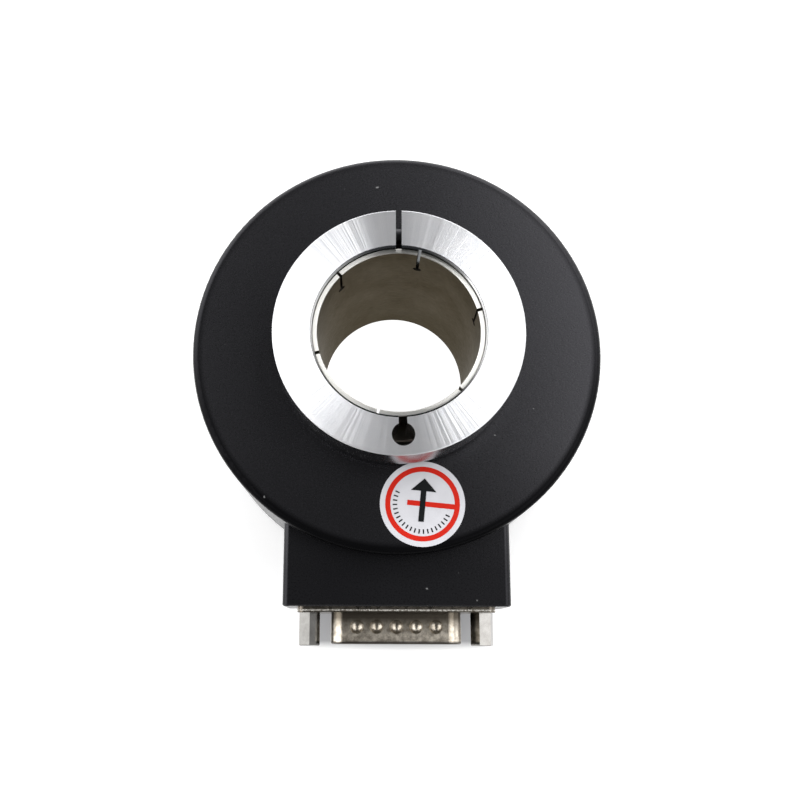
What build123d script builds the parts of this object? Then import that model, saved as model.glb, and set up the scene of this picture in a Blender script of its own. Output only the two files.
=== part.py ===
from build123d import *
import math
import os

# Hollow-shaft rotary encoder. Millimetres. Origin: centre of the rear face, on the shaft axis.
# +Z runs along the shaft towards the clamping ring; the connector block points towards -Y.

# ---- driving dimensions -------------------------------------------------------------------
overall_height = 46.0
bore_r = 15.0                    # machine shaft of 30 mm
body_r = 39.5
body_wall = 3.0
body_top = 33.5
body_edge_r = 1.2
cover_thickness = 3.5
gasket_thickness = 0.5
top_plate = 2.6

ring_height = 10.0
ring_outer_r = 23.15
ring_slot_width = 1.1
ring_relief_r = 2.1
ring_relief_at = 19.3
ring_relief_turn = 2.2           # degrees off the middle line, towards +X
ring_relief_slot = 1.55
ring_chamfer = 0.35              # edge of the bore in the ring's top face

finger_wall = 0.9
finger_recess = 1.0              # finger ends lie this far below the ring's top face
finger_slots = 6
finger_slot_width = 0.6
finger_slot_start = 15.6         # degrees from +X to the first collet slot
finger_relief_r = 0.8

bearing_bore_r = 17.5
bearing_outer_r = 22.0
bearing_width = 5.0
front_bearing_top = 29.5
rear_bearing_top = 20.4
ball_r = 1.1905
ball_count = 18
raceway_r = 1.23
inner_ring_r = 19.0
outer_ring_r = 20.5
shield_thickness = 0.25
cage_gap = 0.2

connector_spacing = 33.32        # between the two jackscrews of a 15-way D connector
flange_width = 37.6
flange_height = 12.55
shell_width = 25.25
shell_height = 8.36
shell_length = 5.9               # plug shell, beyond the mounting plate
shell_end_edge = 0.35            # rounding of the plug shell's open end
dimple_pitch = 3.76              # grounding dimples in the plug shell
dimple_at = 2.7                  # their centres, beyond the mounting plate
dimple_r = 1.55
dimple_centre = 0.85             # centre of each dimple's sphere, outside the shell's face
jack_head_length = 6.2           # jackscrew head, beyond the mounting plate
jack_head_flats = 3.95
connector_z = 19.5
block_half_width = 21.45
block_low = 10.5
block_high = 28.5
block_front = -48.7
block_wall = 2.0
block_front_wall = 2.5
block_edge_r = 1.1
block_root = -30.0               # where the block starts, inside the round shell
window_half_width = 14.0         # opening for the connector in the block's front wall
window_half_height = 5.2

label_r = 7.95
label_x = 4.65
label_y = -30.2
label_thickness = 0.15

m3_r = 1.5
m25_r = 1.25
m2_r = 1.0

seat_gap = 0.01                  # fixed seats
thread_gap = 0.03                # screws in their threads
running_gap = 0.08               # seal lips and shields over turning faces
board_hole_gap = 0.1             # screws through the circuit board
free_hole_gap = 0.2              # screws through covers and clearance holes

# ---- derived levels and radii ---------------------------------------------------------------
housing_low = cover_thickness + gasket_thickness
cavity_r = body_r - body_wall
plate_low = body_top - top_plate
boss_r = bearing_outer_r + 3.5
boss_low = 12.0
seal_seat_low = front_bearing_top + 1.5
bearing_stop_r = outer_ring_r - 0.3
collar_r = 18.9
ring_low = overall_height - ring_height
collar_top = ring_low - 0.2
finger_r = bore_r + finger_wall
finger_top = overall_height - finger_recess
ring_inner_r = finger_r + 0.05
pitch_r = (inner_ring_r + outer_ring_r) / 2

board_low = 5.8
board_high = board_low + 1.6
disc_low = 9.0
disc_high = disc_low + 1.0
disc_r = 29.8
hub_low = disc_low - 1.0
hub_sleeve_r = 19.1
hub_flange_r = 22.4
circlip_thickness = 1.1
hub_groove_r = 16.7
spring_low = rear_bearing_top - bearing_width - 0.9
track_r = 28.0                   # radius of the code track, the lamp and the detector
ribbon_y = -32.5                 # where the ribbon cable rises from its header

pillar_angles = (45, 135, 225, 315)
pillar_at = 34.0
pillar_r = 3.0
board_pillar_angles = (0, 68, 112, 180)
board_pillar_at = 33.2
board_pillar_r = 2.2
mount_hole_angles = (0, 90, 180, 270)
mount_hole_at = 26.0
mount_hole_r = 1.25
mount_hole_depth = 2.8
screw_hole_top = 13.0            # blind end of the threaded holes in the pillars

LOW = (Align.CENTER, Align.CENTER, Align.MIN)


# ---- helpers --------------------------------------------------------------------------------
def disc(radius, low, high):
    """Solid cylinder on the shaft axis between two levels."""
    return Pos(0, 0, low) * Cylinder(radius, high - low, align=LOW)


def tube(inner, outer, low, high):
    """Plain ring on the shaft axis."""
    return disc(outer, low, high) - disc(inner, low - 1, high + 1)


def brick(x_low, x_high, y_low, y_high, z_low, z_high):
    """Box from its lowest and highest corners."""
    centre = Pos((x_low + x_high) / 2, (y_low + y_high) / 2, (z_low + z_high) / 2)
    return centre * Box(x_high - x_low, y_high - y_low, z_high - z_low)


def turned(*points):
    """Solid of revolution about Z from (radius, level) points."""
    outline = Polyline(*[(r, 0, z) for r, z in points], close=True)
    return revolve(make_face(outline), Axis.Z)


def polar(angle, radius):
    """Place at an angle and radius, turned to face outwards."""
    return Rot(0, 0, angle) * Pos(radius, 0, 0)


def copies(part, angles, radius):
    """The same piece at several angles round the shaft axis."""
    return [polar(angle, radius) * part for angle in angles]


def rod_y(radius, x, z, y_low, y_high):
    """Cylinder along Y."""
    length = y_high - y_low
    return Pos(x, y_low, z) * Rot(-90, 0, 0) * Cylinder(radius, length, align=LOW)


def rod_x(radius, y, z, x_low, x_high):
    """Cylinder along X."""
    length = x_high - x_low
    return Pos(x_low, y, z) * Rot(0, 90, 0) * Cylinder(radius, length, align=LOW)


def hexagon(across_flats, low, high):
    """Hexagonal prism on Z with two flats facing +X and -X."""
    corner_r = across_flats / math.sqrt(3)
    outline = RegularPolygon(corner_r, 6, rotation=30)
    return Pos(0, 0, low) * extrude(outline, amount=high - low)


def socket_screw(shank_r, length, head_r, head_height):
    """Socket-head screw: shank from 0 up to length, head below 0."""
    head = disc(head_r, -head_height, 0)
    head = chamfer(head.edges().sort_by(Axis.Z)[0], head_height * 0.1)
    shank = disc(shank_r, 0, length)
    shank = chamfer(shank.edges().sort_by(Axis.Z)[-1], shank_r * 0.3)
    key = hexagon(head_r * 0.95, -head_height - 1, -head_height * 0.45)
    return head + shank - key


def pan_screw(shank_r, length, head_r, head_height):
    """Cross-recess pan-head screw: shank from 0 up to length, head below 0."""
    head = disc(head_r, -head_height, 0)
    head = fillet(head.edges().sort_by(Axis.Z)[0], head_height * 0.4)
    arm = head_r * 0.6
    slot = Box(2 * arm, head_r * 0.24, head_height)
    recess = Pos(0, 0, -head_height) * (slot + Rot(0, 0, 90) * slot)
    return head + disc(shank_r, 0, length) - recess


def d_outline(width, height, corner):
    """Outline of a D connector in X and Z, the wide side up, 10 degree sides."""
    lean = height * math.tan(math.radians(10)) / 2
    half, rise = width / 2 + lean / 2, height / 2
    corners = [(-half, rise), (half, rise), (half - 2 * lean, -rise), (2 * lean - half, -rise)]
    flat = make_face(Polyline(*corners, close=True))
    return fillet(flat.vertices(), corner)


def save(name, solids):
    """Write one node: a single solid, or a group of separate identical ones."""
    shape = Compound(children=list(solids)) if isinstance(solids, list) else solids
    export_step(shape, f"parts/{name}.step")


os.makedirs("parts", exist_ok=True)

# ---- main housing: round shell, bearing boss, connector block -----------------------------------
clip_low = spring_low - circlip_thickness
clip_groove_r = bearing_outer_r + 1
shell = turned(
    (cavity_r, housing_low),
    (body_r, housing_low),
    (body_r, body_top),
    (bearing_outer_r, body_top),
    (bearing_outer_r, seal_seat_low),
    (bearing_stop_r, seal_seat_low),
    (bearing_stop_r, front_bearing_top),
    (bearing_outer_r, front_bearing_top),
    (bearing_outer_r, spring_low),
    (clip_groove_r, spring_low),
    (clip_groove_r, clip_low),
    (bearing_outer_r, clip_low),
    (bearing_outer_r, boss_low),
    (boss_r, boss_low),
    (boss_r, plate_low),
    (cavity_r, plate_low),
)
rims = shell.edges().filter_by(GeomType.CIRCLE).filter_by(lambda e: abs(e.radius - body_r) < 0.01)
shell = fillet(rims.sort_by(Axis.Z)[-1], body_edge_r)

block = brick(-block_half_width, block_half_width, block_front, block_root, block_low, block_high)
block = fillet(block.edges().filter_by(Axis.Y), block_edge_r)
block = chamfer(block.faces().sort_by(Axis.Y)[0].edges(), 0.25)
block -= disc(cavity_r, 0, body_top)
housing = shell + block

inner_half = block_half_width - block_wall
inner_low, inner_high = block_low + block_wall, block_high - block_wall
wall_back = block_front + block_front_wall
housing -= brick(-inner_half, inner_half, wall_back, block_root - 0.5, inner_low, inner_high)
window_low, window_high = connector_z - window_half_height, connector_z + window_half_height
through_low, through_high = block_front - 1, wall_back + 1
housing -= brick(
    -window_half_width, window_half_width, through_low, through_high, window_low, window_high
)
jack_r = 1.42                    # shank of a 4-40 jackscrew
jack_thread_r = 1.15             # tapped hole in its head
jack_hole_r = 1.6
jackscrew_x = (-connector_spacing / 2, connector_spacing / 2)
for x in jackscrew_x:
    housing -= rod_y(jack_hole_r, x, connector_z, through_low, through_high)

pillar = disc(pillar_r, housing_low, plate_low + 0.5)
board_pillar = disc(board_pillar_r, board_high, plate_low + 0.5)
cover_thread = disc(m3_r + thread_gap, 0, screw_hole_top)
board_thread = disc(m25_r + thread_gap, 0, screw_hole_top)
for solid in copies(pillar, pillar_angles, pillar_at):
    housing += solid
for solid in copies(board_pillar, board_pillar_angles, board_pillar_at):
    housing += solid
for hole in copies(cover_thread, pillar_angles, pillar_at):
    housing -= hole
for hole in copies(board_thread, board_pillar_angles, board_pillar_at):
    housing -= hole
save("main_housing", housing)

# ---- rear cover, its gasket and screws -------------------------------------------------------------
rear_opening_r = 20.0
seal_ledge_r = rear_opening_r - 1.4
seal_ledge_high = 0.6
cover_edge = 0.6
counterbore_r = 3.1
counterbore_depth = 2.2
cover = turned(
    (seal_ledge_r, 0),
    (body_r - cover_edge, 0),
    (body_r, cover_edge),
    (body_r, cover_thickness),
    (rear_opening_r, cover_thickness),
    (rear_opening_r, seal_ledge_high),
    (seal_ledge_r, seal_ledge_high),
)
screw_clearance = disc(m3_r + free_hole_gap, -1, housing_low + 1)
for hole in copies(disc(counterbore_r, -1, counterbore_depth) + screw_clearance, pillar_angles, pillar_at):
    cover -= hole
for hole in copies(disc(mount_hole_r, -1, mount_hole_depth), mount_hole_angles, mount_hole_at):
    cover -= hole
save("rear_cover", cover)

gasket = tube(cavity_r, body_r - 0.1, cover_thickness, housing_low)
for pad in copies(disc(pillar_r, cover_thickness, housing_low), pillar_angles, pillar_at):
    gasket += pad
for hole in copies(screw_clearance, pillar_angles, pillar_at):
    gasket -= hole
save("rear_cover_gasket", gasket)

cover_screw = Pos(0, 0, counterbore_depth) * socket_screw(m3_r, 9.8, 2.75, 1.8)
save("rear_cover_screws", copies(cover_screw, pillar_angles, pillar_at))

# ---- shaft seals --------------------------------------------------------------------------------
front_lip_r = collar_r + running_gap
front_seal_r = bearing_outer_r - seat_gap
save("front_shaft_seal", turned(
    (front_lip_r, 32.5),
    (front_lip_r, 33.0),
    (front_lip_r + 0.7, 33.0),
    (front_lip_r + 1.1, 32.2),
    (bearing_outer_r - 1.0, 32.2),
    (bearing_outer_r - 0.7, 33.2),
    (front_seal_r, 33.2),
    (front_seal_r, seal_seat_low),
    (front_lip_r + 1.2, seal_seat_low),
    (front_lip_r + 1.2, 31.4),
))
rear_lip_r = bearing_bore_r + running_gap
rear_seal_r = rear_opening_r - seat_gap
save("rear_shaft_seal", turned(
    (rear_lip_r, 1.2),
    (rear_lip_r, 1.7),
    (rear_lip_r + 0.8, 2.5),
    (rear_lip_r + 1.4, 3.3),
    (rear_seal_r, 3.3),
    (rear_seal_r, seal_ledge_high),
    (rear_lip_r + 1.2, seal_ledge_high),
))

# ---- hollow shaft with collet fingers ----------------------------------------------------------
shaft_low = 0.5
groove_low = hub_low - circlip_thickness
finger_edge = 0.15
shaft = turned(
    (bore_r + 0.5, shaft_low),
    (bearing_bore_r - 0.4, shaft_low),
    (bearing_bore_r, shaft_low + 0.4),
    (bearing_bore_r, groove_low),
    (hub_groove_r, groove_low),
    (hub_groove_r, hub_low),
    (bearing_bore_r, hub_low),
    (bearing_bore_r, front_bearing_top),
    (collar_r, front_bearing_top),
    (collar_r, collar_top - 0.3),
    (collar_r - 0.3, collar_top),
    (finger_r, collar_top),
    (finger_r, finger_top - finger_edge),
    (finger_r - finger_edge, finger_top),
    (bore_r + finger_edge, finger_top),
    (bore_r, finger_top - finger_edge),
    (bore_r, shaft_low + 0.5),
)
relief_z = collar_top + 0.7 + finger_relief_r
cut_in, cut_out = bore_r - 1, finger_r + 1
half_slot = finger_slot_width / 2
slot = brick(cut_in, cut_out, -half_slot, half_slot, relief_z, finger_top + 1)
slot += rod_x(finger_relief_r, 0, relief_z, cut_in, cut_out)
for number in range(finger_slots):
    shaft -= Rot(0, 0, finger_slot_start + number * 360 / finger_slots) * slot
save("hollow_shaft", shaft)

# ---- split clamping ring with its screw and washer --------------------------------------------------
screw_y = 19.8
screw_z = ring_low + ring_height / 2
screw_length = 12.0
head_seat_x = 4.2                # flat floor of the pocket that the washer and the head sit in
head_pocket_r = 3.1
pocket_mouth_x = 15.0
thread_end_x = -9.0
washer_thickness = 0.8
washer_r = 2.9
ring = turned(
    (ring_inner_r + 0.3, ring_low),
    (ring_outer_r - 0.3, ring_low),
    (ring_outer_r, ring_low + 0.3),
    (ring_outer_r, overall_height - 0.2),
    (ring_outer_r - 0.2, overall_height),
    (ring_inner_r + ring_chamfer, overall_height),
    (ring_inner_r, overall_height - ring_chamfer),
    (ring_inner_r, ring_low + 0.3),
)
above = overall_height + 1
below = ring_low - 1
half_split = ring_slot_width / 2
half_cut = ring_relief_slot / 2
relief = brick(-half_cut, half_cut, -ring_relief_at, -bore_r, below, above)
relief += Pos(0, -ring_relief_at, 0) * disc(ring_relief_r, below, above)
ring -= brick(-half_split, half_split, bore_r, ring_outer_r + 1, below, above)
ring -= Rot(0, 0, ring_relief_turn) * relief
ring -= rod_x(head_pocket_r, screw_y, screw_z, head_seat_x, pocket_mouth_x)
ring -= rod_x(m3_r + free_hole_gap, screw_y, screw_z, 0, head_seat_x)
ring -= rod_x(m3_r + thread_gap, screw_y, screw_z, thread_end_x, 0)
save("clamp_ring", ring)

head_x = head_seat_x + washer_thickness
clamp_screw = socket_screw(m3_r, screw_length, 2.75, 3.0)
save("clamp_screw", Pos(head_x, screw_y, screw_z) * Rot(0, -90, 0) * clamp_screw)
washer = rod_x(washer_r, screw_y, screw_z, head_seat_x, head_x)
washer -= rod_x(m3_r + board_hole_gap, screw_y, screw_z, head_seat_x - 1, head_x + 1)
save("clamp_screw_washer", washer)


# ---- ball bearings -----------------------------------------------------------------------------
def ball_bearing(name, top):
    """Write one deep-groove bearing: two rings, shields, balls and a crown cage."""
    low, middle = top - bearing_width, top - bearing_width / 2
    groove = Pos(0, 0, middle) * Torus(pitch_r, raceway_r)
    inner = tube(bearing_bore_r + seat_gap, inner_ring_r, low, top)
    outer = tube(outer_ring_r, bearing_outer_r - seat_gap, low, top)
    save(f"{name}_bearing_inner_ring", inner - groove)
    save(f"{name}_bearing_outer_ring", outer - groove)
    shield = tube(inner_ring_r + running_gap, outer_ring_r, 0, shield_thickness)
    shield_levels = (low + 0.1, top - 0.1 - shield_thickness)
    save(f"{name}_bearing_shields", [Pos(0, 0, level) * shield for level in shield_levels])
    angles = [number * 360 / ball_count for number in range(ball_count)]
    ball = Pos(0, 0, middle) * Sphere(ball_r)
    save(f"{name}_bearing_balls", copies(ball, angles, pitch_r))
    cage = tube(inner_ring_r + cage_gap, outer_ring_r - cage_gap, middle - 2.0, middle + 0.4)
    for pocket in copies(Pos(0, 0, middle) * Sphere(ball_r + 0.03), angles, pitch_r):
        cage -= pocket
    save(f"{name}_bearing_cage", cage)


ball_bearing("front", front_bearing_top)
ball_bearing("rear", rear_bearing_top)
front_bearing_low = front_bearing_top - bearing_width
rear_bearing_low = rear_bearing_top - bearing_width
save("inner_ring_spacer", tube(bearing_bore_r + seat_gap, inner_ring_r, rear_bearing_top, front_bearing_low))
save("bearing_disc_spring", turned(
    (outer_ring_r + 0.2, rear_bearing_low - 0.3),
    (outer_ring_r + 0.2, rear_bearing_low),
    (bearing_outer_r - 0.1, spring_low + 0.3),
    (bearing_outer_r - 0.1, spring_low),
))


def circlip(inner, outer, low, ear_at):
    """Open retaining ring with two drilled ears, the gap facing -Y."""
    clip = tube(inner, outer, low, low + circlip_thickness)
    clip -= brick(-3, 3, -outer - 1, -inner + 3, low - 1, low + circlip_thickness + 1)
    for side in (-1, 1):
        place = polar(270 + side * 12, ear_at)
        clip += place * disc(0.95, low, low + circlip_thickness)
        clip -= place * disc(0.4, low - 1, low + circlip_thickness + 1)
    return clip


save("bearing_circlip", circlip(21.1, bearing_outer_r + 0.9, clip_low, 20.9))
save("hub_circlip", circlip(hub_groove_r + seat_gap, 18.9, hub_low - circlip_thickness, 19.2))

# ---- code disc, its hub and retaining ring ------------------------------------------------------
save("code_disc_hub", turned(
    (bearing_bore_r + seat_gap, hub_low),
    (hub_sleeve_r, hub_low),
    (hub_sleeve_r, disc_high),
    (hub_flange_r, disc_high),
    (hub_flange_r, disc_high + 1.5),
    (hub_sleeve_r, disc_high + 1.5),
    (hub_sleeve_r, rear_bearing_low - 0.6),
    (inner_ring_r - 0.2, rear_bearing_low),
    (bearing_bore_r + seat_gap, rear_bearing_low),
))
save("code_disc", tube(hub_sleeve_r + 0.05, disc_r, disc_low, disc_high))
save("disc_retaining_ring", tube(hub_sleeve_r + seat_gap, hub_flange_r, hub_low, disc_low))

# ---- main circuit board and what stands on it ----------------------------------------------------
holder_screw_x = (-3.2, 3.2)
holder_screw_y = 33.0
board = tube(21.5, 35.5, board_low, board_high)
for notch in copies(disc(pillar_r + 0.6, 0, disc_low), pillar_angles, pillar_at):
    board -= notch
for hole in copies(disc(m25_r + board_hole_gap, 0, disc_low), board_pillar_angles, board_pillar_at):
    board -= hole
for x in holder_screw_x:
    board -= Pos(x, holder_screw_y, 0) * disc(m2_r + board_hole_gap, 0, disc_low)
save("main_board", board)

board_screw = Pos(0, 0, board_low) * pan_screw(m25_r, 6.5, 2.1, 1.3)
save("board_screws", copies(board_screw, board_pillar_angles, board_pillar_at))

detector_high = board_high + 0.9
save("detector_chip", brick(-3, 3, track_r - 2.5, track_r + 2.5, board_high, detector_high))
save("reticle_mask", brick(-2.2, 2.2, track_r - 2, track_r + 2, detector_high, detector_high + 0.3))


def standing(deep, wide, height):
    """Block standing on the main board, its depth measured along the radius."""
    return brick(-deep / 2, deep / 2, -wide / 2, wide / 2, board_high, board_high + height)


chip_sizes = {200: (6.0, 9.0), 235: (5.0, 5.0), 305: (6.0, 7.0), 340: (6.0, 9.0)}
save("signal_chips", [
    polar(angle, 26.5) * standing(deep, wide, 1.2) for angle, (deep, wide) in chip_sizes.items()
])
capacitor_angles = (20, 32, 148, 160, 215, 252, 288, 325)
save("board_capacitors", copies(standing(1.6, 3.2, 1.1), capacitor_angles, 26.0))
header = Pos(0, ribbon_y, 0) * Rot(0, 0, 90) * standing(3.8, 16.4, 3.2)
header -= brick(-7.6, 7.6, ribbon_y - 1.3, ribbon_y + 1.3, board_high + 1.2, board_high + 4)
save("board_header", header)

# ---- lamp, lens and their holder over the disc -----------------------------------------------------
holder_high = 14.6
arm_low = disc_high + 0.8
holder = brick(-5, 5, 31, 35, board_high, holder_high) + brick(-5, 5, 26.3, 31, arm_low, holder_high)
holder -= Pos(0, track_r, 0) * (disc(2.0, disc_high, 12.2) + disc(1.55, 12, holder_high + 1))
for x in holder_screw_x:
    holder -= Pos(x, holder_screw_y, 0) * disc(m2_r + thread_gap, 0, 11.5)
save("led_holder", holder)
lens = disc(1.95, 11.0, 12.1) & (Pos(0, 0, 14.2) * Sphere(3.3))
save("collimating_lens", Pos(0, track_r, 0) * lens)
emitter = disc(1.5, 13.8, 14.7) + Pos(0, 0, 13.8) * Sphere(1.5) + disc(2.1, holder_high, 15.3)
for x in (-0.7, 0.7):
    emitter += Pos(x, 0, 0) * disc(0.25, 15.0, 18.0)
save("led_emitter", Pos(0, track_r, 0) * emitter)
holder_screw = Pos(0, 0, board_low) * pan_screw(m2_r, 5.2, 1.7, 1.0)
save("led_holder_screws", [Pos(x, holder_screw_y, 0) * holder_screw for x in holder_screw_x])

# ---- 15-way D connector ---------------------------------------------------------------------------
plate_thickness = 0.5
shell_wall = 0.5
flange_back = block_front - plate_thickness
flange_front = flange_back - plate_thickness
shell_end = flange_front - shell_length
pin_r = 0.5
pin_pitch = 2.77
row_gap = 2.84
insulator_front = flange_front - 1.0
insulator_back = block_front + 6.3
rear_shell_back = block_front + 5.9
pin_front = shell_end + 0.6
pin_back = block_front + 10.1
connector_board_front = block_front + 7.3
connector_board_back = connector_board_front + 1.6


def facing_front(flat, y_low, y_high):
    """Raise a flat X-Z outline, centred on the connector, into a solid between two Y levels."""
    return Pos(0, y_high, connector_z) * Rot(90, 0, 0) * extrude(flat, amount=y_high - y_low)


def flange(y_low, y_high):
    """One mounting plate of the connector."""
    plate = RectangleRounded(flange_width, flange_height, 1.3)
    plate -= [Pos(x, 0) * Circle(jack_hole_r) for x in jackscrew_x]
    return facing_front(plate, y_low, y_high)


def d_block(width, height, corner, y_low, y_high):
    """D-shaped block between two Y levels."""
    return facing_front(d_outline(width, height, corner), y_low, y_high)


plug = d_block(shell_width, shell_height, 2.6, shell_end, flange_front)
plug = fillet(plug.faces().sort_by(Axis.Y)[0].edges(), shell_end_edge)
front_shell = flange(flange_front, flange_back) + plug
shell_inner_width = shell_width - 2 * shell_wall
shell_inner_height = shell_height - 2 * shell_wall
front_shell -= d_block(shell_inner_width, shell_inner_height, 2.1, shell_end - 1, block_front + 1)
shell_top = connector_z + shell_height / 2
shell_bottom = connector_z - shell_height / 2
dimple_y = flange_front - dimple_at
dimple_outer_r = dimple_r + 0.4
for count, level, side in ((5, shell_top, 1), (4, shell_bottom, -1)):
    for number in range(count):
        x = (number - (count - 1) / 2) * dimple_pitch
        centre = Pos(x, dimple_y, level + side * dimple_centre)
        z_low, z_high = sorted((level, level - side * 3))
        inside = brick(x - 3, x + 3, dimple_y - 3, dimple_y + 3, z_low, z_high)
        front_shell += centre * Sphere(dimple_outer_r) & inside
        front_shell -= centre * Sphere(dimple_r)
save("connector_front_shell", front_shell)

rear_shell = flange(flange_back, block_front)
rear_shell += d_block(26.6, 9.6, 2.8, block_front, rear_shell_back)
rear_shell -= d_block(25.8, 8.8, 2.4, flange_front - 1, rear_shell_back + 1)
save("connector_rear_shell", rear_shell)

pin_places = [((i - 3.5) * pin_pitch, connector_z + row_gap / 2) for i in range(8)]
pin_places += [((i - 3) * pin_pitch, connector_z - row_gap / 2) for i in range(7)]
insulator = d_block(shell_inner_width - 0.1, shell_inner_height - 0.1, 2.0, insulator_front, flange_back)
insulator += d_block(25.7, 8.7, 2.3, flange_back, insulator_back)
for x, z in pin_places:
    insulator -= rod_y(pin_r + 0.02, x, z, insulator_front - 1, insulator_back + 1)
save("connector_insulator", insulator)

pin = chamfer(rod_y(pin_r, 0, 0, pin_front, pin_back).edges().sort_by(Axis.Y)[0], 0.3)
save("connector_pins", [Pos(x, 0, z) * pin for x, z in pin_places])

connector_board = brick(
    -13, 13, connector_board_front, connector_board_back, connector_z - 5, connector_z + 5
)
for x, z in pin_places:
    connector_board -= rod_y(pin_r + 0.04, x, z, connector_board_front - 1, connector_board_back + 1)
save("connector_board", connector_board)

# ---- jackscrews with their nuts -----------------------------------------------------------------
jack_end = flange_front - jack_head_length
jack_tip = wall_back + 3.2
nut_thickness = 2.2
head_turns = (-2, 16)            # the two hexagons stopped at different angles
jackscrews = []
nuts = []
for x, turn in zip(jackscrew_x, head_turns):
    forward = Pos(x, flange_front, connector_z) * Rot(90, 0, 0)
    head = hexagon(jack_head_flats, 0, jack_head_length)
    head = forward * Rot(0, 0, turn) * chamfer(head.faces().sort_by(Axis.Z)[-1].edges(), 0.15)
    screw = head + rod_y(jack_r, x, connector_z, flange_front, jack_tip)
    jackscrews.append(screw - rod_y(jack_thread_r, x, connector_z, jack_end - 1, flange_front - 1))
    nut = Pos(x, wall_back + nut_thickness, connector_z) * Rot(90, 0, 0) * hexagon(4.75, 0, nut_thickness)
    nuts.append(nut - rod_y(jack_r + thread_gap, x, connector_z, wall_back - 1, wall_back + 4))
save("jackscrews", jackscrews)
save("jackscrew_nuts", nuts)

# ---- ribbon cable from the board header to the connector ---------------------------------------------
ribbon_thickness = 0.9
ribbon_half_width = 7.0
ribbon_path = FilletPolyline(
    (ribbon_y, board_high + 1.4),
    (ribbon_y, connector_z),
    (connector_board_back + 0.1, connector_z),
    radius=3,
)
ribbon = extrude(trace(ribbon_path, ribbon_thickness), amount=ribbon_half_width, both=True)
save("ribbon_cable", Plane.YZ * ribbon)

# ---- round label on the front face --------------------------------------------------------------------
label = disc(label_r, body_top, body_top + label_thickness)
save("round_label", Pos(label_x, label_y, 0) * label)
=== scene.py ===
import bpy
import math
from mathutils import Euler, Matrix, Vector


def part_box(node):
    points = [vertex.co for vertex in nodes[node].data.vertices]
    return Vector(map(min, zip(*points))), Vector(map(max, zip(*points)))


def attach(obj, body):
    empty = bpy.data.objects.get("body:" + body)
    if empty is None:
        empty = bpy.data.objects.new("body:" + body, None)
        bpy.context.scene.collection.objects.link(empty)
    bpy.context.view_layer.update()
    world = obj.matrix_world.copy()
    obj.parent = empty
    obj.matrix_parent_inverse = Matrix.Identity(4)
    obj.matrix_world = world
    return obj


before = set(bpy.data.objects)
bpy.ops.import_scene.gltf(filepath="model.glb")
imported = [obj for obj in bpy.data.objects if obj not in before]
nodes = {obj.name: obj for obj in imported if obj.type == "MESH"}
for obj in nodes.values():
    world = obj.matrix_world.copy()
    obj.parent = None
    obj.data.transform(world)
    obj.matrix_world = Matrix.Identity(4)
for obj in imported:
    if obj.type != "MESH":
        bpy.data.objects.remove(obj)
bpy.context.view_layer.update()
scene = bpy.context.scene
MM = 0.001


# ---- places read from the model's parts --------------------------------------------------------
def low(node):
    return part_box(node)[0]


def high(node):
    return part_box(node)[1]


ring_top = high("clamp_ring").z
finger_top = high("hollow_shaft").z
body_top = high("main_housing").z
rear_opening_r = high("rear_shaft_seal").x
label_low, label_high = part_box("round_label")
label_centre = (label_low + label_high) / 2
label_r = (label_high.x - label_low.x) / 2


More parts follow.
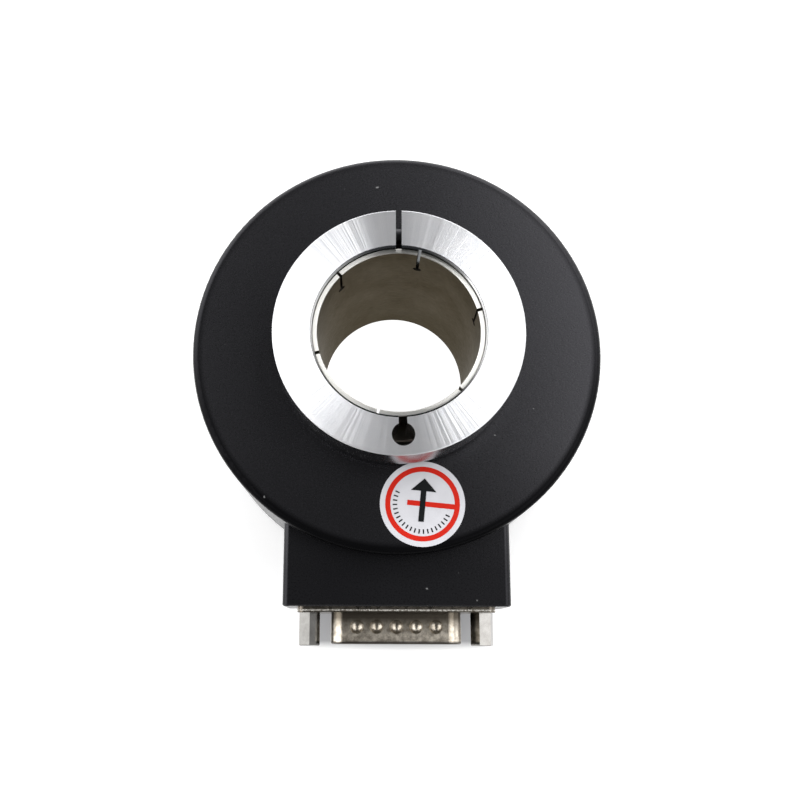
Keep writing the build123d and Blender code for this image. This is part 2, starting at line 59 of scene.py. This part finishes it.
# ---- node helpers ------------------------------------------------------------------------------
class Paint:
    """A node material around one Principled shader, in the Object coordinates of its piece."""

    def __init__(self, name, **inputs):
        self.material = bpy.data.materials.new(name)
        self.material.use_nodes = True
        self.tree = self.material.node_tree
        self.shader = self.tree.nodes["Principled BSDF"]
        self.place = self.tree.nodes.new("ShaderNodeTexCoord").outputs["Object"]
        for key, value in inputs.items():
            self.set(key.replace("_", " "), value)

    def put(self, socket, value):
        """Link a socket, or set a plain value."""
        if isinstance(value, bpy.types.NodeSocket):
            self.tree.links.new(value, socket)
        elif isinstance(value, (tuple, list)) and len(value) == 3 and socket.type == "RGBA":
            socket.default_value = (*value, 1)
        else:
            socket.default_value = value

    def set(self, name, value):
        """Set an input of the shader by its name, whatever its capitals."""
        socket = next(s for s in self.shader.inputs if s.name.lower() == name.lower())
        self.put(socket, value)

    def math(self, operation, a, b=0.0):
        node = self.tree.nodes.new("ShaderNodeMath")
        node.operation = operation
        for socket, value in zip(node.inputs, (a, b)):
            self.put(socket, value)
        return node.outputs[0]

    def both(self, a, b):
        """Product of two masks or numbers."""
        return self.math("MULTIPLY", a, b)

    def inverse(self, mask):
        """One minus a mask."""
        return self.math("SUBTRACT", 1.0, mask)

    def split(self):
        """X, Y and Z of the Object coordinates."""
        node = self.tree.nodes.new("ShaderNodeSeparateXYZ")
        self.put(node.inputs[0], self.place)
        return node.outputs

    def join(self, x, y, z):
        """A vector from three numbers or sockets."""
        node = self.tree.nodes.new("ShaderNodeCombineXYZ")
        for socket, value in zip(node.inputs, (x, y, z)):
            self.put(socket, value)
        return node.outputs[0]

    def noise(self, scale, detail=2.0, rough=0.5, vector=None):
        node = self.tree.nodes.new("ShaderNodeTexNoise")
        self.put(node.inputs["Vector"], vector or self.place)
        for key, value in (("Scale", scale), ("Detail", detail), ("Roughness", rough)):
            node.inputs[key].default_value = value
        return node.outputs["Fac"]

    def stretched(self, x, y, z):
        """Object coordinates multiplied along each axis, for streaks."""
        node = self.tree.nodes.new("ShaderNodeMapping")
        self.put(node.inputs["Vector"], self.place)
        node.inputs["Scale"].default_value = (x, y, z)
        return node.outputs[0]

    def spread(self, value, to_low, to_high, from_low=0.0, from_high=1.0):
        """Map a value from one range to another, clamped."""
        node = self.tree.nodes.new("ShaderNodeMapRange")
        for socket, number in zip(node.inputs, (value, from_low, from_high, to_low, to_high)):
            self.put(socket, number)
        return node.outputs[0]

    def rise(self, value, start, end):
        """Mask that grows from 0 at start to 1 at end."""
        return self.spread(value, 0, 1, start, end)

    def fall(self, value, start, end):
        """Mask that shrinks from 1 at start to 0 at end."""
        return self.spread(value, 1, 0, start, end)

    def contrast(self, noise, to_low, to_high):
        """Stretch the middle of a noise over a range of values."""
        return self.spread(noise, to_low, to_high, 0.3, 0.7)

    def mix(self, factor, a, b):
        node = self.tree.nodes.new("ShaderNodeMix")
        node.data_type = "RGBA"
        self.put(node.inputs[0], factor)
        self.put(node.inputs[6], a)
        self.put(node.inputs[7], b)
        return node.outputs[2]

    def cloudy(self, noise, dark, light, start=0.35, end=0.65):
        """Two colours mottled by a noise."""
        return self.mix(self.rise(noise, start, end), dark, light)

    def bump(self, height, strength, depth):
        node = self.tree.nodes.new("ShaderNodeBump")
        self.put(node.inputs["Height"], height)
        node.inputs["Strength"].default_value = strength
        node.inputs["Distance"].default_value = depth
        self.set("Normal", node.outputs[0])

    def radius(self):
        """Distance from the shaft axis."""
        x, y, _ = self.split()
        return self.math("SQRT", self.math("ADD", self.both(x, x), self.both(y, y)))

    def around(self, count):
        """Coordinates that change only with the angle round the shaft axis."""
        x, y, _ = self.split()
        r = self.radius()
        return self.join(self.both(self.math("DIVIDE", x, r), count),
                         self.both(self.math("DIVIDE", y, r), count), 0.0)

    def turned(self, mask):
        """Stretch highlights across the tool marks of a turned face, where the mask is 1."""
        quarter_turn = 0.25
        tangent = self.tree.nodes.new("ShaderNodeTangent")
        tangent.direction_type = "RADIAL"
        tangent.axis = "Z"
        self.set("Tangent", tangent.outputs[0])
        self.set("Anisotropic", mask)
        self.set("Anisotropic Rotation", quarter_turn)


def faded(colour, amount):
    """A colour with every channel multiplied by an amount."""
    return tuple(c * amount for c in colour)


# ---- materials ---------------------------------------------------------------------------------
def black_paint(name, peel=1.0):
    """Satin black paint with orange peel, faint clouds and dust specks, and painted shade darkening and
    dulling the rounded edge, most at the front.
    """
    edge_shade_start_r, edge_shade_full_r = 37.3 * MM, 38.3 * MM
    edge_low, edge_high = body_top - 2.6 * MM, body_top - 1.8 * MM
    dark_full_y, dark_end_y = -30 * MM, 0.0
    gloss_low_y, gloss_high_y = -42 * MM, -20 * MM
    loss_full_y, loss_least_y = -12 * MM, 36 * MM
    dust, dust_cover = (0.42, 0.42, 0.42), 0.45
    coarse_peel = 0.8
    p = Paint(name, specular_tint=(0.93, 0.92, 1.0))
    clouds = p.noise(45, 3)
    grain = p.noise(2600, 2)
    specks = p.rise(p.noise(620, 1.0), 0.795, 0.83)
    base = p.cloudy(clouds, (0.0042, 0.0042, 0.0048), (0.0060, 0.0060, 0.0067), 0.3, 0.7)
    _, y, z = p.split()
    # painted shade on the rounded top edge: the base colour goes towards black at the front, and the edge
    # loses gloss all round, most at the front
    edge = p.both(p.rise(p.radius(), edge_shade_start_r, edge_shade_full_r), p.rise(z, edge_low, edge_high))
    base = p.mix(p.both(edge, p.spread(y, 0.5, 0.0, dark_full_y, dark_end_y)), base, (0.0, 0.0, 0.0))
    p.set("Base Color", p.mix(p.both(specks, dust_cover), base, dust))
    p.set("Roughness", p.contrast(grain, 0.26, 0.31))
    # painted shade: the whole face loses gloss towards the front
    gloss = p.spread(y, 0.20, 0.52, gloss_low_y, gloss_high_y)
    loss = p.both(edge, p.spread(y, 0.92, 0.30, loss_full_y, loss_least_y))
    p.set("Specular IOR Level", p.both(gloss, p.inverse(loss)))
    p.bump(p.math("ADD", grain, p.both(p.noise(700, 2), coarse_peel)), 0.06 * peel, 0.00012)
    return p.material


def turned_aluminium():
    """Bright ring: a faced top with concentric tool marks and radial glints, polished sides, and painted
    light and shade on the bore's edge.
    """
    bore_inner_r, bore_outer_r = 16.22 * MM, 16.30 * MM
    face_start, face_end = ring_top - 0.25 * MM, ring_top - 0.1 * MM
    glint_count, groove_count, groove_depth = 17, 5200, 0.02
    p = Paint("turned_aluminium_ring", metallic=1.0)
    x, _, z = p.split()
    r = p.radius()
    inside = p.fall(r, bore_inner_r, bore_outer_r)
    face = p.math("SUBTRACT", p.rise(z, face_start, face_end), inside)
    face = p.math("MAXIMUM", face, 0.0)
    p.turned(face)
    sideways = p.math("ABSOLUTE", p.math("DIVIDE", x, r))
    glints = p.both(p.noise(1.0, 5, 0.62, p.around(glint_count)), p.spread(sideways, 0.12, 1.0, 0.30, 0.58))
    grooves = p.noise(1.0, 3, 0.6, p.join(p.both(r, groove_count), 0.0, 0.0))
    stain = p.noise(170, 4, 0.6)
    bright = p.cloudy(stain, (0.84, 0.85, 0.88), (0.92, 0.92, 0.94), 0.35, 0.7)
    # painted light and shade on the bore's edge: dark at top and bottom, lighter at left and right where the
    # light falls
    bore_edge_light_and_shade = p.mix(p.rise(sideways, 0.3, 0.9), (0.10, 0.11, 0.12), (0.50, 0.50, 0.50))
    side = p.mix(inside, (0.34, 0.34, 0.35), bore_edge_light_and_shade)
    p.set("Base Color", p.mix(face, side, bright))
    faced = p.contrast(grooves, 0.39, 0.45)
    polished = p.contrast(stain, 0.16, 0.24)
    p.set("Roughness", p.math("ADD", p.both(face, faced), p.both(p.inverse(face), polished)))
    height = p.math("ADD", glints, p.both(grooves, groove_depth))
    p.bump(p.both(height, face), 0.26, 0.0009)
    return p.material


def honed_steel():
    """Bore and fingers: satin steel with cross-hatched honing, brighter on the cut finger ends, with painted
    shade darkening the bore deeper down.
    """
    end_start, end_full = finger_top - 0.2 * MM, finger_top - 0.05 * MM
    shade_deep_z, shade_shallow_z = 4 * MM, 24 * MM
    p = Paint("honed_steel_shaft", metallic=1.0, specular_tint=(0.45, 0.42, 0.37))
    z = p.split()[2]
    end = p.rise(z, end_start, end_full)
    p.turned(end)
    hatch = p.noise(1.0, 3, 0.6, p.stretched(900, 900, 5200))
    stain = p.noise(90, 4, 0.6)
    wall = p.cloudy(stain, (0.086, 0.078, 0.066), (0.130, 0.119, 0.102), 0.35, 0.68)
    # painted shade: the bore wall darkens towards the bottom of the bore
    wall = p.mix(p.spread(z, 0.45, 0, shade_deep_z, shade_shallow_z), wall, (0.03, 0.028, 0.022))
    p.set("Base Color", p.mix(end, wall, (0.90, 0.89, 0.85)))
    p.set("Roughness", p.contrast(hatch, 0.33, 0.50))
    p.bump(hatch, 0.10, 0.00008)
    return p.material


def machined(name, colour, rough):
    """Ground or pressed metal with fine streaks round the part."""
    along, across = 540, 1800
    p = Paint(name, metallic=1.0)
    streaks = p.noise(1.0, 3, 0.6, p.stretched(along, along, across))
    p.set("Base Color", p.cloudy(p.noise(160, 3), faded(colour, 0.9), colour))
    p.set("Roughness", p.contrast(streaks, rough * 0.8, rough * 1.25))
    p.bump(streaks, 0.08, 0.00006)
    return p.material


def plated(name, colour, rough):
    """Bright plate or polished steel with soft cloudiness and tiny pits."""
    p = Paint(name, metallic=1.0)
    p.set("Base Color", p.cloudy(p.noise(420, 4, 0.6), faded(colour, 0.78), colour))
    p.set("Roughness", p.contrast(p.noise(900, 3), rough * 0.7, rough * 1.5))
    p.bump(p.noise(1500, 2), 0.12, 0.00008)
    return p.material


def screw_nickel():
    """Nickel on the jackscrews and their nuts: cloudy, with painted shade making the left-hand screw darker.
    """
    p = Paint("nickel_hexagon_left_shaded", metallic=1.0)
    # painted shade: the left-hand screw gets a darker, shaded copy of the same nickel
    right = p.rise(p.split()[0], -1 * MM, 1 * MM)
    plate = p.mix(right, (0.165, 0.162, 0.155), (0.28, 0.272, 0.26))
    dark = p.mix(right, (0.130, 0.126, 0.120), (0.22, 0.212, 0.20))
    p.set("Base Color", p.cloudy(p.noise(420, 4, 0.6), dark, plate))
    p.set("Roughness", p.contrast(p.noise(900, 3), 0.07, 0.15))
    p.bump(p.noise(1500, 2), 0.12, 0.00008)
    return p.material


def drawn_shell():
    """Nickel on the plug shell: painted shade dark by the plate and along the open end's rim, paler and
    mottled outwards; the plate's edge sparkles.
    """
    plate_thickness = 0.5 * MM
    plate_front = high("connector_front_shell").y - plate_thickness
    open_end = low("connector_front_shell").y
    p = Paint("nickel_front_shell", metallic=1.0)
    y = p.split()[1]
    plate = p.rise(y, plate_front + 0.15 * MM, plate_front + 0.25 * MM)
    # painted shade: darker next to the plate, where the plate's shadow falls, and along the rounded rim of
    # the open end
    plate_shade = p.fall(y, plate_front - 4.2 * MM, plate_front - 1.0 * MM)
    rim = p.fall(y, open_end + 0.3 * MM, open_end + 0.7 * MM)
    pale = p.cloudy(p.noise(900, 4, 0.65), (0.40, 0.35, 0.285), (0.84, 0.77, 0.66), 0.38, 0.62)
    wall = p.mix(rim, p.mix(plate_shade, (0.11, 0.095, 0.075), pale), (0.10, 0.09, 0.08))
    sparkle = p.cloudy(p.noise(2600, 3, 0.7), (0.20, 0.18, 0.15), (0.78, 0.76, 0.71), 0.42, 0.58)
    p.set("Base Color", p.mix(plate, wall, sparkle))
    p.set("Roughness", p.spread(plate, 0.30, 0.55))
    p.bump(p.noise(1500, 3), 0.25, 0.00010)
    return p.material


def moulded(name, colour, rough):
    """Moulded plastic, rubber or ceramic with a fine grain and slightly uneven colour."""
    light = tuple(c * 1.18 + 0.004 for c in colour)
    p = Paint(name)
    p.set("Base Color", p.cloudy(p.noise(260, 3), colour, light))
    p.set("Roughness", p.contrast(p.noise(1440, 2), rough * 0.88, rough * 1.12))
    p.bump(p.noise(2400, 2), 0.15, 0.0001)
    return p.material


def clear_glass(name, colour):
    """Clear glass or epoxy, faintly uneven."""
    light = tuple(min(1.0, c * 1.06) for c in colour)
    p = Paint(name, transmission_weight=1.0, ior=1.5)
    p.set("Base Color", p.mix(p.noise(300, 2), colour, light))
    p.set("Roughness", p.spread(p.noise(800, 2), 0.02, 0.06))
    return p.material


def code_glass():
    """Glass disc with radial chrome lines in a band near its rim."""
    line_count = 500.0
    track_inner, track_outer = 26.6 * MM, 29.2 * MM
    p = Paint("code_glass", ior=1.5)
    x, y, _ = p.split()
    r = p.radius()
    angle = p.math("ARCTAN2", y, x)
    lines = p.math("GREATER_THAN", p.math("SINE", p.both(angle, line_count)), 0.0)
    band = p.both(p.math("GREATER_THAN", r, track_inner), p.math("LESS_THAN", r, track_outer))
    track = p.both(lines, band)
    p.set("Base Color", p.mix(track, (0.86, 0.92, 0.93), (0.10, 0.10, 0.11)))
    p.set("Metallic", track)
    p.set("Transmission Weight", p.inverse(track))
    p.set("Roughness", p.spread(p.noise(500, 2), 0.02, 0.08))
    return p.material


def circuit_board():
    """Green solder mask over faint copper tracks, with a woven grain."""
    p = Paint("circuit_board", coat_weight=0.3)
    tracks = p.rise(p.noise(260, 1), 0.49, 0.51)
    p.set("Base Color", p.mix(tracks, (0.012, 0.085, 0.035), (0.022, 0.145, 0.060)))
    p.set("Roughness", p.spread(p.noise(900, 2), 0.32, 0.5))
    p.bump(p.math("ADD", tracks, p.noise(2200, 1)), 0.2, 0.00006)
    return p.material


def printed(name, colour):
    """Ink or white vinyl: satin, with faint mottling and a soft grain."""
    p = Paint(name, specular_ior_level=0.12)
    p.set("Base Color", p.cloudy(p.noise(350, 3), faded(colour, 0.93), colour))
    p.set("Roughness", p.spread(p.noise(1500, 2), 0.34, 0.46))
    p.bump(p.noise(1200, 2), 0.06, 0.00005)
    return p.material


def ribbon_plastic():
    """Grey ribbon cable: parallel ribs across its width, one edge conductor red."""
    conductor_pitch = 0.93 * MM
    p = Paint("ribbon_plastic")
    x = p.split()[0]
    ribs = p.math("SINE", p.both(x, 2 * math.pi / conductor_pitch))
    edge = p.math("LESS_THAN", x, low("ribbon_cable").x + conductor_pitch)
    p.set("Base Color", p.mix(edge, (0.36, 0.37, 0.39), (0.55, 0.05, 0.04)))
    p.set("Roughness", p.spread(p.noise(900, 2), 0.4, 0.55))
    p.bump(ribs, 0.6, 0.0003)
    return p.material


def dress(material, *names):
    """Give CAD nodes one material in every slot."""
    for name in names:
        slots = nodes[name].data.materials
        for index in range(max(1, len(slots))):
            if index < len(slots):
                slots[index] = material
            else:
                slots.append(material)


BEARINGS = ("front", "rear")
dress(black_paint("black_paint_body"), "main_housing")
dress(black_paint("black_paint_cover", 0.7), "rear_cover")
dress(turned_aluminium(), "clamp_ring")
dress(honed_steel(), "hollow_shaft")
dress(moulded("nitrile_rubber", (0.012, 0.012, 0.012), 0.62), "front_shaft_seal", "rear_shaft_seal",
      "rear_cover_gasket")
dress(machined("black_oxide_steel", (0.07, 0.07, 0.075), 0.36), "rear_cover_screws", "clamp_screw")
dress(machined("bearing_steel", (0.62, 0.62, 0.64), 0.2), "inner_ring_spacer",
      *[f"{b}_bearing_{part}_ring" for b in BEARINGS for part in ("inner", "outer")])
dress(machined("shield_steel", (0.52, 0.52, 0.53), 0.3), *[f"{b}_bearing_shields" for b in BEARINGS])
dress(plated("ball_steel", (0.75, 0.75, 0.77), 0.05), *[f"{b}_bearing_balls" for b in BEARINGS])
dress(moulded("cage_polyamide", (0.50, 0.38, 0.20), 0.5), *[f"{b}_bearing_cage" for b in BEARINGS])
dress(machined("spring_steel", (0.22, 0.22, 0.24), 0.34), "bearing_disc_spring", "bearing_circlip",
      "hub_circlip", "clamp_screw_washer")
dress(machined("hub_aluminium", (0.78, 0.79, 0.80), 0.26), "code_disc_hub", "disc_retaining_ring")
dress(code_glass(), "code_disc")
dress(circuit_board(), "main_board", "connector_board")
dress(machined("zinc_steel", (0.60, 0.60, 0.58), 0.26), "board_screws", "led_holder_screws")
dress(moulded("chip_epoxy", (0.02, 0.02, 0.021), 0.55), "detector_chip", "signal_chips")
dress(clear_glass("reticle_glass", (0.6, 0.66, 0.68)), "reticle_mask")
dress(moulded("capacitor_ceramic", (0.36, 0.25, 0.15), 0.45), "board_capacitors")
dress(moulded("header_plastic", (0.72, 0.70, 0.60), 0.5), "board_header")
dress(moulded("holder_plastic", (0.03, 0.03, 0.034), 0.5), "led_holder")
dress(clear_glass("led_epoxy", (0.28, 0.12, 0.20)), "led_emitter")
dress(clear_glass("lens_glass", (0.92, 0.95, 0.96)), "collimating_lens")
dress(drawn_shell(), "connector_front_shell")
# painted shade: the rear shell gets a darker, shaded copy of the shell's nickel
dress(plated("shaded_nickel_rear_shell", (0.17, 0.15, 0.125), 0.3), "connector_rear_shell")
dress(screw_nickel(), "jackscrews", "jackscrew_nuts")
dress(moulded("connector_plastic", (0.018, 0.018, 0.018), 0.42), "connector_insulator")
dress(plated("gold_flash", (0.83, 0.62, 0.25), 0.16), "connector_pins")
dress(ribbon_plastic(), "ribbon_cable")
dress(printed("white_vinyl", (0.575, 0.575, 0.605)), "round_label")


# ---- printed marks on the label ----------------------------------------------------------------
print_step = 0.02 * MM
label_turn = math.radians(-5.5)


def flat_piece(name, outlines, holes, material, layer):
    """A thin printed film from closed outlines on the label, a little above the layer below."""
    curve = bpy.data.curves.new(name, "CURVE")
    curve.dimensions = "2D"
    curve.fill_mode = "BOTH"
    curve.extrude = print_step / 2
    for points in (*outlines, *holes):
        spline = curve.splines.new("POLY")
        spline.points.add(len(points) - 1)
        for point, (x, y) in zip(spline.points, points):
            point.co = (x, y, 0, 1)
        spline.use_cyclic_u = True
    source = bpy.data.objects.new(name + "_curve", curve)
    scene.collection.objects.link(source)
    mesh = bpy.data.meshes.new_from_object(source.evaluated_get(bpy.context.evaluated_depsgraph_get()))
    bpy.data.objects.remove(source)
    piece = bpy.data.objects.new(name, mesh)
    scene.collection.objects.link(piece)
    level = label_high.z + (layer + 0.5) * print_step
    turn = Matrix.Translation((label_centre.x, label_centre.y, level)) @ Matrix.Rotation(label_turn, 4, "Z")
    mesh.transform(turn)
    mesh.materials.clear()
    mesh.materials.append(material)
    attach(piece, "housing")


def circle(radius, count=128):
    return [(radius * math.cos(2 * math.pi * i / count), radius * math.sin(2 * math.pi * i / count))
            for i in range(count)]


def rectangle(left, right, half):
    return [(left, -half), (right, -half), (right, half), (left, half)]


red = printed("red_ink", (0.54, 0.018, 0.008))
black = printed("black_ink", (0.006, 0.007, 0.008))
ring_out, ring_in = 0.875 * label_r, 0.755 * label_r
flat_piece("label_red_ring", [circle(ring_out)], [circle(ring_in)], red, 0)

bar_start, bar_half = -0.36 * label_r, 0.06 * label_r
flat_piece("label_red_bar", [rectangle(bar_start, ring_in, bar_half)], [], red, 1)

arrow_tip, arrow_neck, arrow_foot = 0.60 * label_r, 0.30 * label_r, -0.42 * label_r
arrow_half, stem_half = 0.30 * label_r, 0.065 * label_r
right_side = [(0, arrow_tip), (arrow_half, arrow_neck), (stem_half, arrow_neck), (stem_half, arrow_foot)]
left_side = [(-x, y) for x, y in reversed(right_side[1:])]
flat_piece("label_arrow", [right_side + left_side], [], black, 2)

tick_in, tick_out, tick_half = 0.595 * label_r, 0.70 * label_r, 0.016 * label_r
first_tick, last_tick, tick_pitch = 160, 340, 9
ticks = []
for degrees in range(first_tick, last_tick + 1, tick_pitch):
    turn = Matrix.Rotation(math.radians(degrees), 2)
    ticks.append([tuple(turn @ Vector(corner)) for corner in rectangle(tick_in, tick_out, tick_half)])
flat_piece("label_ticks", ticks, [], black, 0)


# ---- floor -------------------------------------------------------------------------------------
floor_half = 3.0
floor_drop = 0.02 * MM
floor_glow, bore_glow = 0.30, 0.8
shade_middle, shade_half, shade_soft = 0.5 * MM, 17.0 * MM, 4.0 * MM
shade_front, shade_front_soft, shade_back = -57.0 * MM, 2.0 * MM, -42 * MM

floor_mesh = bpy.data.meshes.new("floor")
floor_mesh.from_pydata(
    [(x * floor_half, y * floor_half, 0) for x, y in ((-1, -1), (1, -1), (1, 1), (-1, 1))], [], [(0, 1, 2, 3)]
)
floor = bpy.data.objects.new("floor", floor_mesh)
floor.location.z = -floor_drop
scene.collection.objects.link(floor)
paper = Paint("white_paper", roughness=0.9, specular_ior_level=0.1)
floor_x, floor_y, _ = paper.split()
beside = paper.math("ABSOLUTE", paper.math("SUBTRACT", floor_x, shade_middle))
shade = paper.both(paper.fall(beside, shade_half, shade_half + shade_soft),
                   paper.rise(floor_y, shade_front, shade_front + shade_front_soft))
shade = paper.both(shade, paper.math("LESS_THAN", floor_y, shade_back))
pale = paper.mix(paper.noise(30, 2), (0.86, 0.86, 0.86), (0.90, 0.90, 0.90))
paper.set("Base Color", paper.mix(shade, pale, (0.42, 0.42, 0.43)))
paper.set("Emission Color", (1.0, 1.0, 1.0))
in_bore = paper.math("LESS_THAN", paper.radius(), rear_opening_r)
glow = paper.math("ADD", floor_glow, paper.both(in_bore, bore_glow))
paper.set("Emission Strength", paper.both(glow, paper.inverse(shade)))
floor_mesh.materials.append(paper.material)


# ---- light and camera --------------------------------------------------------------------------
def studio_sky(zenith, horizon, tilt):
    """A white room: dark ceiling, brighter walls, brightest on the far side, a pale band at floor level."""
    wall_top, ceiling_start = 0.25, 0.88
    band_full, band_end, band_strength = 0.08, 0.12, 0.8
    world = bpy.data.worlds.new("studio")
    world.use_nodes = True
    tree = world.node_tree

    def ranged(socket, *limits):
        node = tree.nodes.new("ShaderNodeMapRange")
        tree.links.new(socket, node.inputs[0])
        for index, value in enumerate(limits, 1):
            node.inputs[index].default_value = value
        return node.outputs[0]

    def combined(operation, first, second):
        node = tree.nodes.new("ShaderNodeMath")
        node.operation = operation
        tree.links.new(first, node.inputs[0])
        tree.links.new(second, node.inputs[1])
        return node.outputs[0]

    coords = tree.nodes.new("ShaderNodeTexCoord")
    parts = tree.nodes.new("ShaderNodeSeparateXYZ")
    tree.links.new(coords.outputs["Generated"], parts.inputs[0])
    walls = ranged(parts.outputs["Z"], wall_top, ceiling_start, horizon, zenith)
    far = ranged(parts.outputs["Y"], -1.0, 1.0, 1.0 - tilt, 1.0 + tilt)
    band = ranged(parts.outputs["Z"], band_full, band_end, band_strength, 0.0)
    strength = combined("MAXIMUM", combined("MULTIPLY", walls, far), band)
    background = tree.nodes["Background"]
    tree.links.new(strength, background.inputs["Strength"])
    background.inputs["Color"].default_value = (1, 1, 1, 1)
    scene.world = world


def softbox(name, azimuth, distance, height, width, tall, radiance):
    """A rectangular area light aimed at the ring from an azimuth in degrees."""
    light = bpy.data.lights.new(name, "AREA")
    light.shape = "RECTANGLE"
    light.size = width
    light.size_y = tall
    light.energy = radiance * math.pi * width * tall
    lamp = bpy.data.objects.new(name, light)
    turn = math.radians(azimuth)
    lamp.location = (distance * math.cos(turn), distance * math.sin(turn), height)
    target = Vector((0, 0, ring_top))
    lamp.rotation_euler = (target - lamp.location).to_track_quat("-Z", "Y").to_euler()
    scene.collection.objects.link(lamp)


studio_sky(zenith=0.06, horizon=1.50, tilt=0.9)
softbox("right_box", azimuth=8, distance=0.312, height=0.512, width=1.25, tall=0.37, radiance=2.75)
softbox("left_box", azimuth=171, distance=0.46, height=0.406, width=0.82, tall=0.50, radiance=2.9)

camera_data = bpy.data.cameras.new("camera")
camera_data.lens = 49.5
camera_data.sensor_width = 36.0
camera_data.shift_x = 0.0338
camera_data.shift_y = -0.0441
camera = bpy.data.objects.new("camera", camera_data)
camera.location = Vector((-5.97, -54.79, 238.5)) * MM
camera.rotation_euler = Euler((math.radians(14.04), math.radians(-0.41), math.radians(0.17)))
scene.collection.objects.link(camera)
scene.camera = camera
scene.view_settings.view_transform = "Standard"
